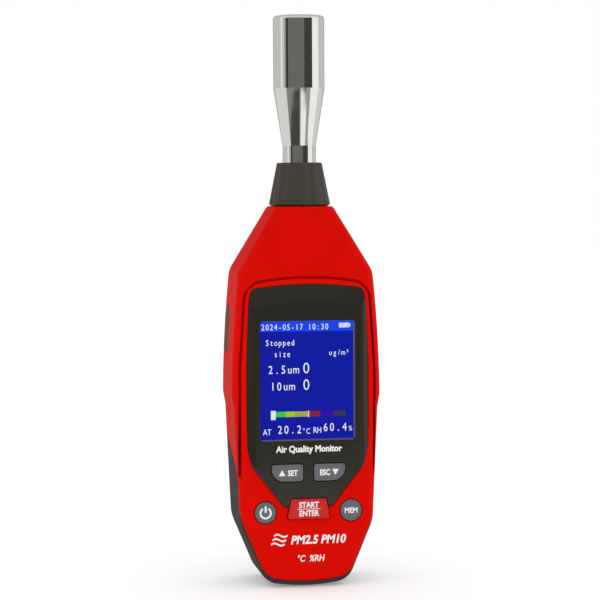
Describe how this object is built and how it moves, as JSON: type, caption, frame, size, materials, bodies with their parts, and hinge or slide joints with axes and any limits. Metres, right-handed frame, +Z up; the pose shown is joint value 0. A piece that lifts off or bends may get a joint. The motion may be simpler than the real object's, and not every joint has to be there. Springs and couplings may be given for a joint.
{
  "type": "air quality monitor",
  "caption": "Handheld air quality monitor: polished air inlet on a fluted collar, red hooded case, colour screen, press keys, side port flap and rear tripod socket.",
  "frame": {"origin": "mouth of the tripod socket in the back face", "axes": "+Z up along the body towards the air inlet, +Y out of the back, +X to the right of someone facing the display"},
  "size_m": [0.0504, 0.0302, 0.1913],
  "materials": {
    "hood_red": "satin gloss",
    "cover_red": "satin gloss",
    "case_grey": "fine texture",
    "bezel_black": "polished",
    "clear_window": "clear",
    "gasket_pale": "light moulded rubber, lit by the screen",
    "screen_blue": "lit blue screen, emissive",
    "panel_steel": "satin",
    "white_plastic": "plain",
    "board_green": "solder mask",
    "chip_black": "moulded",
    "screw_steel": "zinc plated",
    "screw_black": "black oxide",
    "cell_steel": "stamped",
    "collar_grey": "satin",
    "seal_rubber": "smooth",
    "nut_brass": "turned",
    "nozzle_chrome": "polished",
    "tube_silicone": "translucent silicone",
    "sensor_black": "moulded",
    "lid_aluminium": "stamped",
    "fan_black": "moulded",
    "battery_wrap": "foil wrap",
    "black_foam": "foam",
    "label_silver": "matt film",
    "usb_steel": "stamped",
    "port_rubber": "matt",
    "key_grey": "matt",
    "key_slate": "matt",
    "key_red": "translucent"
  },
  "bodies": {
    "case": {"hood": "hood_red", "front_cover": "cover_red", "rear_case": "case_grey", "lens_bezel": "bezel_black", "display_window": "clear_window", "display_gasket": "gasket_pale", "lcd_screen": "screen_blue", "lcd_panel": "panel_steel", "display_holder": "white_plastic", "main_board": "board_green", "port_board": "board_green", "board_chips": "chip_black", "buzzer": "chip_black", "photodiode": "chip_black", "board_screws": "screw_steel", "case_screws": "screw_black", "tact_switches": "screw_steel", "clock_cell": "cell_steel", "collar": "collar_grey", "collar_o_ring": "seal_rubber", "collar_nut": "nut_brass", "sampling_tube": "tube_silicone", "sensor_housing": "sensor_black", "sensor_lid": "lid_aluminium", "laser_module": "nut_brass", "fan_frame": "fan_black", "battery": "battery_wrap", "battery_foam": "black_foam", "tripod_insert": "nut_brass", "humidity_sensor": "board_green", "rating_label": "label_silver", "usb_connector": "usb_steel"},
    "power_key": {"power_button": "key_grey"},
    "memory_key": {"memory_button": "key_grey"},
    "start_key": {"start_button": "key_red"},
    "set_key": {"set_button": "key_slate"},
    "escape_key": {"escape_button": "key_slate"},
    "rotor": {"fan_rotor": "fan_black"},
    "side_flap": {"port_cover": "port_rubber"},
    "nozzle": {"inlet_nozzle": "nozzle_chrome"}
  },
  "joints": [
    {"name": "power_press", "type": "slide", "parent": "case", "child": "power_key", "axis": [0, 1, 0], "range_m": [0, 0.0007], "stiffness_N_per_m": 800},
    {"name": "memory_press", "type": "slide", "parent": "case", "child": "memory_key", "axis": [0, 1, 0], "range_m": [0, 0.0007], "stiffness_N_per_m": 800},
    {"name": "start_press", "type": "slide", "parent": "case", "child": "start_key", "axis": [0, 1, 0], "range_m": [0, 0.0007], "stiffness_N_per_m": 800},
    {"name": "set_press", "type": "slide", "parent": "case", "child": "set_key", "axis": [0, 1, 0], "range_m": [0, 0.0007], "stiffness_N_per_m": 800},
    {"name": "escape_press", "type": "slide", "parent": "case", "child": "escape_key", "axis": [0, 1, 0], "range_m": [0, 0.0007], "stiffness_N_per_m": 800},
    {"name": "fan_spin", "type": "hinge", "parent": "case", "child": "rotor", "pos_m": [0.004, -0.0075, 0.026], "axis": [0, 1, 0], "continuous": true},
    {"name": "port_cover_hinge", "type": "hinge", "parent": "case", "child": "side_flap", "pos_m": [-0.02495, -0.00525, 0.0254], "axis": [0, 0, -1], "range_deg": [0, 100], "stiffness_Nm_per_rad": 0.01},
    {"name": "nozzle_draw", "type": "slide", "parent": "case", "child": "nozzle", "axis": [0, 0, 1], "range_m": [0, 0.014]}
  ]
}
